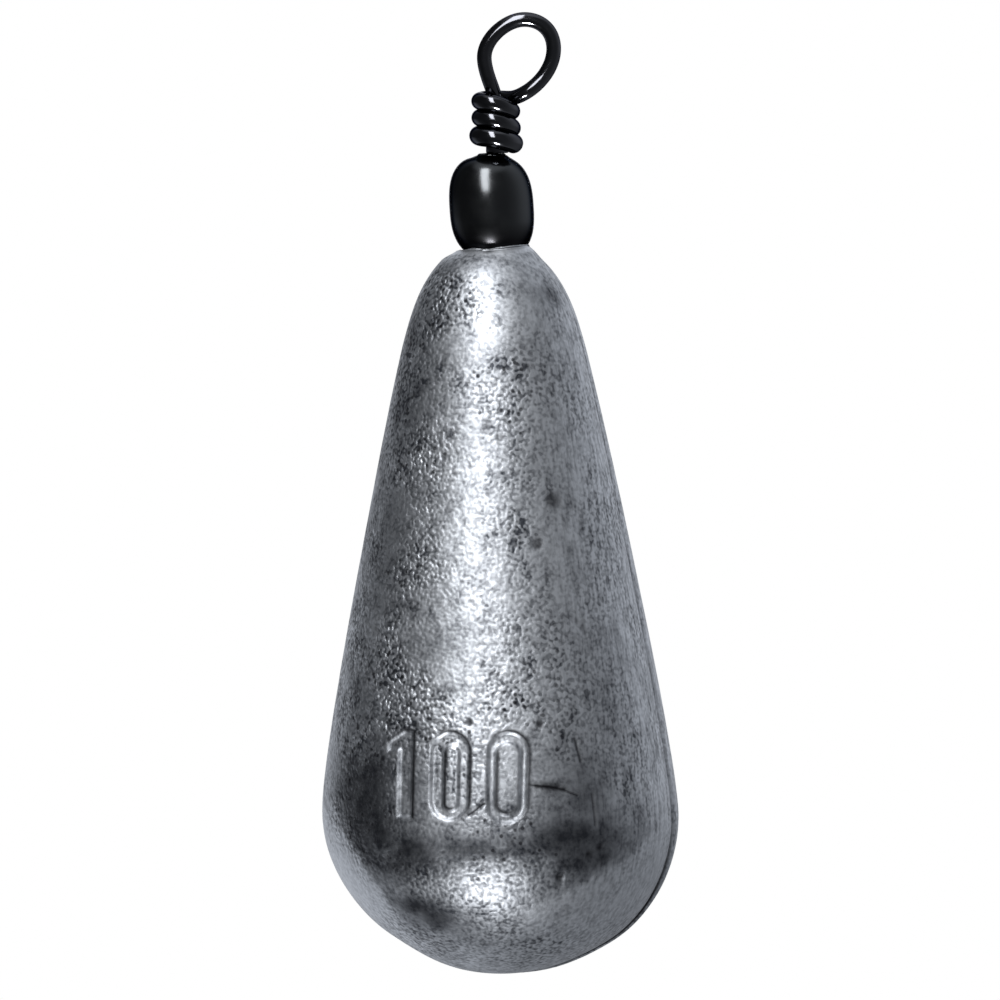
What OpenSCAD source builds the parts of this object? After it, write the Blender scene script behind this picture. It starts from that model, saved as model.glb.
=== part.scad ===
// Pear-shaped fishing sinker, cast round the lower eye of a small barrel swivel.
// The origin is the centre of the upper eye's round loop, where the line is tied.
// +Z is up, along the swivel's axis. -Y is the side with the weight numerals.
// Every height is worked out downwards from the loop: wraps, barrel, then lead.

/* [Wire eyes] */
// Diameter of the wire in the loop and the wraps
wire_d = 0.75; // [0.6:0.01:0.76]
// Radius of the loop at the middle of the wire
loop_r = 2.15; // [1.9:0.05:2.6]
// How far the loop's centre stands to the side of the swivel's axis
loop_lean = 1.6; // [1.3:0.05:1.8]
// Height from the start of the wraps up to the loop's centre
loop_rise = 2.35; // [2.3:0.05:3.2]
// Radius of the wraps at the middle of the wire
wrap_r = 1.18; // [1.17:0.01:1.4]
// Distance from one wrap to the next
wrap_pitch = 1.18; // [1.18:0.01:1.4]
// Turns that the wire makes round its own shank
wrap_turns = 3; // [2:1:5]

/* [Shank and head] */
// Diameter of the round shank that turns in the barrel's collar
shank_d = 0.8; // [0.78:0.01:0.9]
// Clearance round the shank, on the radius
shank_clearance = 0.05; // [0.03:0.01:0.08]
// Diameter of the head that keeps the shank in the barrel
head_d = 1.7; // [1.4:0.05:2.2]
// Thickness of the head
head_h = 0.5; // [0.3:0.05:0.8]
// Room between the head and the barrel's end, so that the eye turns freely
head_play = 0.15; // [0.1:0.01:0.3]

/* [Barrel] */
// Widest diameter of the barrel
barrel_d = 5.1; // [4.6:0.1:5.8]
// Height of the barrel between its two rounded ends, without the collars
barrel_h = 6.2; // [5.4:0.1:7.4]
// Thickness of the barrel's wall
barrel_wall = 0.25; // [0.15:0.05:0.4]
// Outer diameter of the collars where the ends are closed in round the shanks
collar_d = 1.3; // [1.2:0.02:1.36]
// How far each collar stands out of the rounded end
collar_h = 0.3; // [0.2:0.05:0.4]
// Gap between the lowest wrap and the top of the barrel
wrap_gap = 0.05; // [0.03:0.01:0.2]
// Depth of the barrel's lower end in the lead
barrel_sunk = 0.7; // [0.5:0.05:1]

/* [Lead body] */
// Height of the casting from its crown to its base
body_h = 43.6; // [38:0.2:56]
// Widest diameter of the casting
body_d = 21.3; // [19:0.1:26]
// Height of the widest place above the base
base_h = 9.5; // [8:0.1:12]
// Diameter of the small crown round the barrel
crown_d = 4.3; // [4.2:0.1:5]
// Diameter where the round shoulder runs into the flank
shoulder_d = 10.8; // [10:0.1:12]
// Depth of the shoulder's lower end below the crown
shoulder_h = 5.6; // [4.6:0.1:7]
// Angle at which the two mould halves closed out of line
mould_skew = 0.3; // [0.1:0.05:0.5]
// Distance that the rear mould half sat lower than the front one
mould_drop = 0.12; // [0.05:0.01:0.2]

/* [Weight numerals] */
// Height of the sunk numerals
digit_h = 5.5; // [4:0.1:6.5]
// Width of a zero
zero_w = 2.4; // [2:0.1:2.8]
// Width of the groove that draws a zero
zero_line = 0.6; // [0.4:0.05:0.8]
// Width of the upright of the one
one_w = 0.9; // [0.6:0.05:1.1]
// Distance between the numerals' middles
digit_step = 3.1; // [3.1:0.05:3.6]
// How far the middle numeral stands to the left of the middle
digit_shift = 0.3; // [0:0.05:0.6]
// Depth of the numerals in the lead
digit_sunk = 0.22; // [0.1:0.01:0.4]
// Height of the numerals' middle above the base
digit_rise = 12.7; // [11.5:0.1:14]

/* [Hidden] */
lead_colour = "#8f939a";
black_colour = "#1b1c1f";
wire_colour = "#232427";

// Facets of round things, and rings and sides of the wire
$fn = 64;
tube_sides = 6;
turn_rings = 24;
core_rings = 10;
leg_rings = 6;
crossing_rings = 8;

// The loop is a circle that opens at the bottom; angles are from +X
loop_left = 197;
loop_right = -38;
wrap_start = 60;
// How far the legs' curves pull along their ends, as shares of the loop's radius
leg_pull_share = 0.32;
crossing_pull_share = 0.5;
// Overrun that takes one round shape into the next
overrun = 0.2;

// Heights along the swivel
wrap_top_z = -loop_rise;
wrap_end_z = wrap_top_z - wrap_pitch * (wrap_turns - wrap_start / 360);
dome_z = wrap_end_z - wire_d / 2 - wrap_gap;
barrel_z = dome_z - barrel_h / 2;
collar_top_z = dome_z + collar_h;
shank_top_z = collar_top_z + wrap_gap;
head_top_z = dome_z - barrel_wall - head_play;
crown_z = dome_z - barrel_h + barrel_sunk;
base_z = crown_z - body_h;
wide_z = base_z + base_h;

// Shape of the barrel: a rounded keg between a circle and a square
keg_power_share = 2.7;
keg_steps = 9;

// Shape of the lead: its shoulder and flank are curves with these pulls
shoulder_angle = 58;
flank_lean_share = 0.28;
shoulder_top_share = 0.46;
shoulder_end_share = 0.27;
flank_top_share = 0.08;
flank_end_share = 0.14;
curve_steps = 9;

// The one: its flag as shares of the digit's height and of the upright's width
flag_reach_share = 0.85;
flag_top_share = 0.36;
flag_foot_share = 0.24;
flag_root_share = 0.3;

function unit(v) = v / norm(v);
function bezier(a, b, c, d, t) =
    pow(1 - t, 3) * a + 3 * t * pow(1 - t, 2) * b + 3 * t * t * (1 - t) * c + pow(t, 3) * d;

// Middle line of the wire, from the shank up and round the loop, then down the wraps
function loop_point(angle) = [loop_lean + loop_r * cos(angle), 0, loop_r * sin(angle)];
function loop_ahead(angle) = [sin(angle), 0, -cos(angle)];
function wrap_point(angle) =
    [wrap_r * cos(angle), wrap_r * sin(angle), wrap_top_z - wrap_pitch * (angle - wrap_start) / 360];
function wrap_ahead(angle) = unit([-sin(angle), cos(angle), -wrap_pitch / (2 * PI * wrap_r)]);
core_foot = [0, 0, shank_top_z - overrun];
core_top = [0, 0, wrap_top_z];
leg_pull = leg_pull_share * loop_r;
crossing_pull = crossing_pull_share * loop_r;
core_line = [for (i = [0:core_rings - 1]) core_foot + (core_top - core_foot) * i / core_rings];
left_leg = [for (i = [0:leg_rings - 1])
    bezier(core_top, core_top + [0, 0, leg_pull],
        loop_point(loop_left) - leg_pull * loop_ahead(loop_left), loop_point(loop_left), i / leg_rings)];
loop_rings = round(turn_rings * (loop_left - loop_right) / 360);
loop_line = [for (i = [0:loop_rings - 1])
    loop_point(loop_left + (loop_right - loop_left) * i / loop_rings)];
crossing = [for (i = [0:crossing_rings - 1])
    bezier(loop_point(loop_right), loop_point(loop_right) + crossing_pull * loop_ahead(loop_right),
        wrap_point(wrap_start) - crossing_pull * wrap_ahead(wrap_start), wrap_point(wrap_start),
        i / crossing_rings)];
wrap_angle = 360 * wrap_turns - wrap_start;
wrap_rings = round(turn_rings * wrap_angle / 360);
wraps = [for (i = [0:wrap_rings]) wrap_point(wrap_start + wrap_angle * i / wrap_rings)];
wire_line = concat(core_line, left_leg, loop_line, crossing, wraps);

// Least gap from the wire to itself, among points at least half a wrap apart
wire_gap = min([for (i = [0:len(wire_line) - 1], j = [i + turn_rings / 2:1:len(wire_line) - 1])
    norm(wire_line[i] - wire_line[j])]) - wire_d;
echo(least_gap_of_the_wire_to_itself_mm = wire_gap);  // line_eye

// Corner points of a tube along a line; each ring is carried on from the one before
function ahead(line, i) = unit(line[min(i + 1, len(line) - 1)] - line[max(i - 1, 0)]);
function carried(side, way) = unit(side - (side * way) * way);
function ring(middle, way, side, r) =
    [for (k = [0:tube_sides - 1])
        middle + r * (cos(360 * k / tube_sides) * side + sin(360 * k / tube_sides) * cross(way, side))];
function tube_points(line, r) =
    [for (i = 0, side = [1, 0, 0]; i < len(line);
        i = i + 1, side = carried(side, ahead(line, min(i, len(line) - 1))))
        each ring(line[i], ahead(line, i), carried(side, ahead(line, i)), r)];
function corner(i, k) = i * tube_sides + k % tube_sides;
function tube_faces(rings) = concat(
    [for (k = [1:tube_sides - 2]) [corner(0, 0), corner(0, k), corner(0, k + 1)]],
    [for (i = [0:rings - 2], k = [0:tube_sides - 1]) [corner(i, k), corner(i + 1, k), corner(i + 1, k + 1)]],
    [for (i = [0:rings - 2], k = [0:tube_sides - 1]) [corner(i, k), corner(i + 1, k + 1), corner(i, k + 1)]],
    [for (k = [1:tube_sides - 2])
        [corner(rings - 1, 0), corner(rings - 1, k + 1), corner(rings - 1, k)]]);

// Half outline of the barrel, drawn in by an inset
function keg_side(share) = pow(1 - pow(share, keg_power_share), 1 / keg_power_share);
function keg_outline(inset) = concat(
    [[0, -barrel_h / 2 + inset]],
    [for (i = [1:keg_steps]) let (turn = 90 * i / keg_steps, drop = cos(turn))
        [(barrel_d / 2 - inset) * keg_side(drop), -(barrel_h / 2 - inset) * drop]],
    [for (i = [1:keg_steps]) let (turn = 90 * i / keg_steps, rise = sin(turn))
        [(barrel_d / 2 - inset) * keg_side(rise), (barrel_h / 2 - inset) * rise]]);

// Half outline of one mould half, drawn in by an inset
shoulder_foot = [shoulder_d / 2, crown_z - shoulder_h];
flank_way = [flank_lean_share, -1];
flank_h = body_h - shoulder_h - base_h;
function pear_outline(inset) = concat(
    [for (i = [0:curve_steps - 1])
        bezier([crown_d / 2 - inset, crown_z],
            [crown_d / 2 - inset, crown_z]
                + shoulder_top_share * shoulder_h * [sin(shoulder_angle), -cos(shoulder_angle)],
            shoulder_foot - [inset, 0] - shoulder_end_share * shoulder_h * flank_way,
            shoulder_foot - [inset, 0], i / curve_steps)],
    [for (i = [0:curve_steps - 1])
        bezier(shoulder_foot - [inset, 0],
            shoulder_foot - [inset, 0] + flank_top_share * flank_h * flank_way,
            [body_d / 2 - inset, wide_z + flank_end_share * flank_h],
            [body_d / 2 - inset, wide_z], i / curve_steps)],
    [for (i = [0:curve_steps])
        let (turn = 90 * i / curve_steps)
        [(body_d / 2 - inset) * cos(turn), wide_z - (base_h - inset) * sin(turn)]]);

module on_swivel_axis() {
    translate([-loop_lean, 0, 0]) children();
}

module about_barrel_middle() {
    translate([0, 0, barrel_z]) rotate([180, 0, 0]) translate([0, 0, -barrel_z]) children();
}

module wire_eye() {
    polyhedron(points = tube_points(wire_line, wire_d / 2), faces = tube_faces(len(wire_line)));
    translate([0, 0, head_top_z - head_h / 2])
        cylinder(d = shank_d, h = shank_top_z - head_top_z + head_h / 2);
    translate([0, 0, head_top_z - head_h]) cylinder(d = head_d, h = head_h);
}

module keg() {
    translate([0, 0, barrel_z]) rotate_extrude() polygon(keg_outline(0));
    translate([0, 0, barrel_z - barrel_h / 2 - collar_h]) cylinder(d = collar_d, h = barrel_h + 2 * collar_h);
}

module mould_half(inset, first_angle) {
    rotate_extrude(angle = 180, start = first_angle)
        polygon(concat([[0, base_z + inset], [0, crown_z]], pear_outline(inset)));
}

module rear_half() {
    translate([0, 0, crown_z - mould_drop])
        rotate([0, -mould_skew, 0]) translate([0, 0, -crown_z]) mould_half(0, 0);
}

module zero_groove() {
    difference() {
        stadium(zero_w, digit_h);
        stadium(zero_w - 2 * zero_line, digit_h - 2 * zero_line);
    }
}

module stadium(w, h) {
    square([w, h - w], center = true);
    for (end = [-1, 1]) translate([0, end * (h - w) / 2]) circle(d = w);
}

module one_groove() {
    polygon([
        [-one_w / 2, -digit_h / 2],
        [one_w / 2, -digit_h / 2],
        [one_w / 2, digit_h / 2],
        [-one_w / 2, digit_h / 2],
        [-one_w / 2 - flag_reach_share * one_w, flag_top_share * digit_h],
        [-one_w / 2 - flag_reach_share * one_w, flag_foot_share * digit_h],
        [-one_w / 2, flag_root_share * digit_h]]);
}

module numerals() {
    difference() {
        translate([-digit_shift, 0, base_z + digit_rise]) rotate([90, 0, 0]) linear_extrude(height = body_d) {
            translate([-digit_step, 0]) one_groove();
            for (place = [0, 1]) translate([place * digit_step, 0]) zero_groove();
        }
        rotate_extrude() polygon(concat([[0, base_z + digit_sunk], [0, crown_z]], pear_outline(digit_sunk)));
    }
}

module lead_body() {
    color(lead_colour) on_swivel_axis() difference() {
        union() {
            mould_half(0, 180);
            rear_half();
        }
        keg();
        about_barrel_middle() wire_eye();
        numerals();
    }
}

module swivel_barrel() {
    color(black_colour) on_swivel_axis() difference() {
        keg();
        translate([0, 0, barrel_z]) rotate_extrude() polygon(keg_outline(barrel_wall));
        translate([0, 0, barrel_z - barrel_h / 2 - collar_h - overrun])
            cylinder(r = shank_d / 2 + shank_clearance, h = barrel_h + 2 * (collar_h + overrun));
    }
}

module line_eye() {
    color(wire_colour) on_swivel_axis() wire_eye();
}

module anchor_eye() {
    color(wire_colour) on_swivel_axis() about_barrel_middle() wire_eye();
}

lead_body();
swivel_barrel();
line_eye();
anchor_eye();
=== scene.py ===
import math

import bpy
import numpy as np
from mathutils import Matrix, Vector, noise


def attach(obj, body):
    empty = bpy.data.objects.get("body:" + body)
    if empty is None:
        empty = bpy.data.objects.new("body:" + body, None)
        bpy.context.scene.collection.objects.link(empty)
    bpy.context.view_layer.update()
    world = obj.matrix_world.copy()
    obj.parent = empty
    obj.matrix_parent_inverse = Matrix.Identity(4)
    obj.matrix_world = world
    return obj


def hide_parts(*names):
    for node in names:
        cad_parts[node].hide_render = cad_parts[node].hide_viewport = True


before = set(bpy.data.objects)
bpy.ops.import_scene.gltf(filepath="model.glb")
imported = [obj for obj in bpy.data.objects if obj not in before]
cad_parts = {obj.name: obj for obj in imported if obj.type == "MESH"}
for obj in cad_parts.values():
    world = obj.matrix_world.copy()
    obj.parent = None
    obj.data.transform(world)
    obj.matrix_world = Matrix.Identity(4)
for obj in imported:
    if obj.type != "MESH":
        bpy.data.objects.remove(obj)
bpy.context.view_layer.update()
print("frame loaded:", ", ".join(sorted(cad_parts)))

mm = 0.001  # Blender's unit is the metre
swivelX = -1.6  # the swivel's axis, beside the loop's centre
domeZ = -6.118  # top of the barrel, without its collar
crownZ = -11.618  # top of the lead
baseZ = -55.218  # bottom of the lead


def linearColour(hexCode):  # sRGB hex to the linear colour that Blender keeps
    shares = [int(hexCode[i:i + 2], 16) / 255 for i in (1, 3, 5)]
    return [s / 12.92 if s <= 0.04045 else ((s + 0.055) / 1.055) ** 2.4 for s in shares] + [1]


def perMm(size):  # texture scale that gives lumps of a size in mm
    return 1 / (size * mm)


def eased(values, low, high):  # 0 up to low, 1 from high, with a soft change between
    shares = np.clip((np.asarray(values, float) - low) / (high - low), 0, 1)
    return shares * shares * (3 - 2 * shares)


def within(values, low, high, edge):  # 1 from low to high, fading to 0 over an edge on both sides
    return eased(values, low - edge, low) * (1 - eased(values, high, high + edge))


def bell(values, middle, width):  # 1 at the middle, fading to both sides
    return np.exp(-((values - middle) / width) ** 2)


def bezier(a, b, c, d, steps):
    t = np.linspace(0, 1, steps)[:, None]
    a, b, c, d = (np.array(p, float) for p in (a, b, c, d))
    return (1 - t) ** 3 * a + 3 * t * (1 - t) ** 2 * b + 3 * t * t * (1 - t) * c + t ** 3 * d


def spread(places, spacing):  # fewer places along a line, with the wished distance at each
    wished = np.concatenate([[0], np.cumsum(np.diff(places) * 2 / (spacing[1:] + spacing[:-1]))])
    return np.interp(np.linspace(0, wished[-1], round(wished[-1]) + 1), wished, places)


def lumps(points, size, seed, octaves=1):  # noise at each point, about -0.5 to 0.5, in lumps of a size
    shift = Vector((seed * 7.3, seed * 3.1, seed * 5.7))
    return np.array([noise.fractal(Vector(p) / size + shift, 1, 2, octaves) for p in points]) * 0.5


def makePiece(name, points, faces, material, body, node):
    mesh = bpy.data.meshes.new(name)
    mesh.from_pydata((np.asarray(points) * mm).tolist(), [], faces)
    mesh.validate()
    mesh.shade_smooth()
    mesh.materials.append(material)
    piece = bpy.data.objects.new(name, mesh)
    bpy.context.scene.collection.objects.link(piece)
    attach(piece, body)
    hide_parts(node)
    return piece


# Quads between rings of points; closed joins the last ring to the first
def wrapFaces(rings, sides, closed=False):
    last = rings if closed else rings - 1
    return [
        (i * sides + k, i * sides + (k + 1) % sides,
         (i + 1) % rings * sides + (k + 1) % sides, (i + 1) % rings * sides + k)
        for i in range(last) for k in range(sides)]


def capFaces(rings, sides):  # fans from two end points, which follow the rings' points
    first, last = rings * sides, rings * sides + 1
    top = (rings - 1) * sides
    return ([(first, (k + 1) % sides, k) for k in range(sides)]
            + [(last, top + k, top + (k + 1) % sides) for k in range(sides)])


# One node with its settings and its inputs; an input is a value, or the output that it's linked to
def addNode(tree, kind, inputs=None, **settings):
    node = tree.nodes.new("ShaderNode" + kind)
    for name, value in settings.items():
        setattr(node, name, value)
    for name, value in (inputs or {}).items():
        if isinstance(value, bpy.types.NodeSocket):
            tree.links.new(value, node.inputs[name])
        else:
            node.inputs[name].default_value = value
    return node


def newMaterial(name):
    material = bpy.data.materials.new(name)
    material.use_nodes = True
    material.node_tree.nodes.clear()
    return material, material.node_tree


# Camera: a long lens, a little to the right of the numerals and a little above
cameraSet = {
    "azimuth": 13, "elevation": 5, "roll": 0.6, "lens": 300, "distance": 498,
    "aim": (swivelX, 0, -26.74), "aimRight": 0.28, "clip": (0.05, 10)}

turn, rise = math.radians(cameraSet["azimuth"]), math.radians(cameraSet["elevation"])
towardsCamera = Vector((math.sin(turn) * math.cos(rise), -math.cos(turn) * math.cos(rise), math.sin(rise)))
pictureRight = Vector((math.cos(turn), math.sin(turn), 0))
camera = bpy.data.objects.new("camera", bpy.data.cameras.new("camera"))
bpy.context.scene.collection.objects.link(camera)
camera.data.lens = cameraSet["lens"]
camera.data.clip_start, camera.data.clip_end = cameraSet["clip"]
aimPoint = (Vector(cameraSet["aim"]) + pictureRight * cameraSet["aimRight"]) * mm
camera.location = aimPoint + towardsCamera * cameraSet["distance"] * mm
camera.rotation_mode = "QUATERNION"
look = (-towardsCamera).to_track_quat("-Z", "Y").to_matrix().to_4x4()
roll = Matrix.Rotation(math.radians(-cameraSet["roll"]), 4, "Z")
camera.rotation_quaternion = (look @ roll).to_quaternion()
bpy.context.scene.camera = camera
print("camera set")

# Cast lead, poured into a two-part mould: dull bluish silver, grainy where it chilled against the mould,
# smoother and finely streaked on its right side, with a dark oxide skin in patches
# Its darkest colour is for the blackest oxide and for painted shade
leadSet = {
    "clean": "#c9cdd3", "oxide": "#404349", "sootAndShade": "#1f1f23",
    "grainMm": 0.225, "pebbleMm": 0.5, "pebbleShare": 0.85, "grainDeep": 0.185, "clusterMm": 4.5,
    "patchMm": 6.0, "mottleMm": 1.1, "speckMm": 0.44, "specksLeftOut": 0.32,
    "streakMm": 0.25, "streakLongMm": 4.0, "streakDeep": 0.012, "shinyRoughness": 0.47, "dullRoughness": 0.53}

castLead, tree = newMaterial("castLead")
place = addNode(tree, "TexCoord").outputs["Object"]
# The first attribute is darkness: painted shade in grooves, marks, seam and lip, dirt, and oxide's black
# middles
sootAndShade, calm, oxide, gritty = (
    addNode(tree, "Attribute", attribute_name=name).outputs["Fac"]
    for name in ("sootAndShade", "calm", "oxide", "gritty"))
grain = addNode(tree, "TexNoise", {
    "Vector": place, "Scale": perMm(leadSet["grainMm"]), "Detail": 0.0}).outputs["Fac"]
pebbles = addNode(tree, "TexNoise", {
    "Vector": place, "Scale": perMm(leadSet["pebbleMm"]), "Detail": 0.0}).outputs["Fac"]
clusters = addNode(tree, "TexNoise", {
    "Vector": place, "Scale": perMm(leadSet["clusterMm"]), "Detail": 3.0}).outputs["Fac"]
patches = addNode(tree, "TexNoise", {
    "Vector": place, "Scale": perMm(leadSet["patchMm"]), "Detail": 5.0, "Roughness": 0.62}).outputs["Fac"]
mottle = addNode(tree, "TexNoise", {
    "Vector": place, "Scale": perMm(leadSet["mottleMm"]), "Detail": 4.0, "Roughness": 0.65}).outputs["Fac"]
specks = addNode(tree, "TexVoronoi", {"Vector": place, "Scale": perMm(leadSet["speckMm"])}).outputs
longPlace = addNode(tree, "Mapping", {
    "Vector": place, "Scale": (1, 1, leadSet["streakMm"] / leadSet["streakLongMm"])}).outputs["Vector"]
streaks = addNode(tree, "TexNoise", {
    "Vector": longPlace, "Scale": perMm(leadSet["streakMm"]), "Detail": 2.0}).outputs["Fac"]

# How rough the skin is here: the grain comes in clusters, and fades where the skin is calm
grainy = addNode(tree, "MapRange", {
    "Value": clusters, "From Min": 0.38, "From Max": 0.6, "To Min": 0.45, "To Max": 1.0},
    interpolation_type="SMOOTHSTEP").outputs["Result"]
awake = addNode(tree, "MapRange", {"Value": calm, "To Min": 1.0, "To Max": 0.25}).outputs["Result"]
grainShare = addNode(tree, "Math", {0: grainy, 1: awake}, operation="MULTIPLY").outputs["Value"]
stained = addNode(tree, "MapRange", {"Value": calm, "To Min": 1.0, "To Max": 0.6}).outputs["Result"]
stainShare = addNode(tree, "Math", {0: grainy, 1: stained}, operation="MULTIPLY").outputs["Value"]
grainHeight = addNode(tree, "Math", {
    0: pebbles, 1: leadSet["pebbleShare"], 2: grain}, operation="MULTIPLY_ADD").outputs["Value"]
grainStrength = addNode(tree, "Math", {0: grainShare, 1: gritty}, operation="MULTIPLY").outputs["Value"]
grainBump = addNode(tree, "Bump", {
    "Height": grainHeight, "Strength": grainStrength,
    "Distance": leadSet["grainDeep"] * mm}).outputs["Normal"]
streakBump = addNode(tree, "Bump", {
    "Height": streaks, "Strength": calm, "Distance": leadSet["streakDeep"] * mm, "Normal": grainBump})

# Colour: clean lead under oxide, which lies in patches, in mottling, along the streaks and low in the grain.
# It's more even where the skin is calm, and thin where the oxide attribute is less than 0
patchOxide = addNode(tree, "MapRange", {
    "Value": patches, "From Min": 0.48, "From Max": 0.7, "To Min": 0.0, "To Max": 0.36}).outputs["Result"]
mottleOxide = addNode(tree, "MapRange", {
    "Value": mottle, "From Min": 0.46, "From Max": 0.74, "To Min": 0.0, "To Max": 0.62}).outputs["Result"]
uneven = addNode(tree, "MapRange", {"Value": calm, "To Min": 1.0, "To Max": 0.35}).outputs["Result"]
oxideSum = addNode(tree, "Math", {0: patchOxide, 1: mottleOxide}, operation="ADD").outputs["Value"]
oxideSum = addNode(tree, "Math", {0: oxideSum, 1: uneven}, operation="MULTIPLY").outputs["Value"]
streakOxide = addNode(tree, "MapRange", {
    "Value": streaks, "From Min": 0.4, "From Max": 0.7, "To Min": 0.0, "To Max": 0.45}).outputs["Result"]
oxideSum = addNode(tree, "Math", {
    0: streakOxide, 1: calm, 2: oxideSum}, operation="MULTIPLY_ADD").outputs["Value"]
valleys = addNode(tree, "MapRange", {
    "Value": grain, "From Min": 0.57, "From Max": 0.36, "To Min": 0.0, "To Max": 0.66}).outputs["Result"]
oxideSum = addNode(tree, "Math", {
    0: valleys, 1: stainShare, 2: oxideSum}, operation="MULTIPLY_ADD", use_clamp=True).outputs["Value"]
patchTone = addNode(tree, "MapRange", {
    "Value": mottle, "From Min": 0.3, "From Max": 0.7, "To Min": 0.72, "To Max": 1.1}).outputs["Result"]
oxideShare = addNode(tree, "Mix", {"Factor": oxide, "A": oxideSum, "B": patchTone}).outputs["Result"]
unrubbed = addNode(tree, "MapRange", {
    "Value": oxide, "From Min": -1.0, "From Max": 0.0, "To Min": 0.2, "To Max": 1.0}).outputs["Result"]
oxideShare = addNode(tree, "Math", {0: oxideShare, 1: unrubbed}, operation="MULTIPLY").outputs["Value"]
skin = addNode(tree, "Mix", {
    "Factor": oxideShare, "A": linearColour(leadSet["clean"]), "B": linearColour(leadSet["oxide"])},
    data_type="RGBA").outputs["Result"]

# On top of that, small black pits in clusters, and the darkness attribute: painted shade, dirt and black
# oxide
speckRound = addNode(tree, "MapRange", {
    "Value": specks["Distance"], "From Min": 0.35, "From Max": 0.19,
    "To Min": 0.0, "To Max": 0.9}).outputs["Result"]
speckChosen = addNode(tree, "Math", {
    0: specks["Color"], 1: leadSet["specksLeftOut"]}, operation="GREATER_THAN").outputs["Value"]
speckAmount = addNode(tree, "Math", {0: speckRound, 1: speckChosen}, operation="MULTIPLY").outputs["Value"]
speckPlace = addNode(tree, "MapRange", {
    "Value": clusters, "From Min": 0.46, "From Max": 0.56, "To Min": 0.3, "To Max": 0.9}).outputs["Result"]
speckShare = addNode(tree, "Math", {0: speckAmount, 1: speckPlace}, operation="MULTIPLY").outputs["Value"]
speckShare = addNode(tree, "Math", {0: speckShare, 1: awake}, operation="MULTIPLY").outputs["Value"]
dark = addNode(tree, "Math", {0: speckShare, 1: sootAndShade}, operation="MAXIMUM").outputs["Value"]
dirtyAndShaded = addNode(tree, "Mix", {"Factor": dark, "A": skin, "B": linearColour(leadSet["sootAndShade"])},
    data_type="RGBA").outputs["Result"]
dullShare = addNode(tree, "Math", {
    0: calm, 1: 0.3, 2: oxideShare}, operation="MULTIPLY_ADD", use_clamp=True).outputs["Value"]
dull = addNode(tree, "MapRange", {
    "Value": dullShare, "To Min": leadSet["shinyRoughness"], "To Max": leadSet["dullRoughness"]})
surface = addNode(tree, "BsdfPrincipled", {
    "Base Color": dirtyAndShaded, "Metallic": 1.0, "Roughness": dull.outputs["Result"],
    "Normal": streakBump.outputs["Normal"]})
addNode(tree, "OutputMaterial", {"Surface": surface.outputs["BSDF"]})

# Black nickel plate on turned brass: an almost black mirror with a faint orange-peel. Next to the crown it is
# rougher, and darker in colour: painted shade where the barrel meets the lead
barrelFinish = {
    "colour": "#4a4c4e", "edgeTint": "#808084", "roughness": (0.16, 0.24), "peelMm": 0.9, "peelDeep": 0.004,
    "footShadeColour": "#262628", "footDull": 0.06, "footAboveLead": (1.6, 0.5)}
blackNickelBarrel, tree = newMaterial("blackNickelBarrel")
place = addNode(tree, "TexCoord").outputs["Object"]
peel = addNode(tree, "TexNoise", {
    "Vector": place, "Scale": perMm(barrelFinish["peelMm"]), "Detail": 3.0}).outputs["Fac"]
peelBump = addNode(tree, "Bump", {
    "Height": peel, "Strength": 1.0, "Distance": barrelFinish["peelDeep"] * mm})
polish = addNode(tree, "MapRange", {
    "Value": peel, "From Min": 0.3, "From Max": 0.7,
    "To Min": barrelFinish["roughness"][0], "To Max": barrelFinish["roughness"][1]}).outputs["Result"]
level = addNode(tree, "SeparateXYZ", {"Vector": place}).outputs["Z"]
# Next to the lead: rougher plate, and a darker colour that paints the shade where the barrel meets the lead
footFrom, footFully = ((crownZ + above) * mm for above in barrelFinish["footAboveLead"])
footShadeAndDull = addNode(tree, "MapRange", {
    "Value": level, "From Min": footFrom, "From Max": footFully}).outputs["Result"]
dull = addNode(tree, "Math", {
    0: footShadeAndDull, 1: barrelFinish["footDull"], 2: polish}, operation="MULTIPLY_ADD").outputs["Value"]
plate = addNode(tree, "Mix", {
    "Factor": footShadeAndDull, "A": linearColour(barrelFinish["colour"]),
    "B": linearColour(barrelFinish["footShadeColour"])}, data_type="RGBA").outputs["Result"]
surface = addNode(tree, "BsdfPrincipled", {
    "Base Color": plate, "Metallic": 1.0, "Roughness": dull, "Normal": peelBump.outputs["Normal"],
    "Specular Tint": linearColour(barrelFinish["edgeTint"])})
addNode(tree, "OutputMaterial", {"Surface": surface.outputs["BSDF"]})

# Black nickel plate on drawn steel wire: the same black, smoother, with shallow spots in the plate
wireFinish = {
    "colour": "#515256", "edgeTint": "#808084", "roughness": (0.07, 0.16), "spotMm": 0.5, "spotDeep": 0.004}
blackNickelWire, tree = newMaterial("blackNickelWire")
place = addNode(tree, "TexCoord").outputs["Object"]
spots = addNode(tree, "TexNoise", {
    "Vector": place, "Scale": perMm(wireFinish["spotMm"]), "Detail": 3.0}).outputs["Fac"]
spotBump = addNode(tree, "Bump", {
    "Height": spots, "Strength": 1.0, "Distance": wireFinish["spotDeep"] * mm})
polish = addNode(tree, "MapRange", {
    "Value": spots, "From Min": 0.3, "From Max": 0.7,
    "To Min": wireFinish["roughness"][0], "To Max": wireFinish["roughness"][1]}).outputs["Result"]
surface = addNode(tree, "BsdfPrincipled", {
    "Base Color": linearColour(wireFinish["colour"]), "Metallic": 1.0, "Roughness": polish,
    "Normal": spotBump.outputs["Normal"], "Specular Tint": linearColour(wireFinish["edgeTint"])})
addNode(tree, "OutputMaterial", {"Surface": surface.outputs["BSDF"]})
print("materials made")

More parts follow.
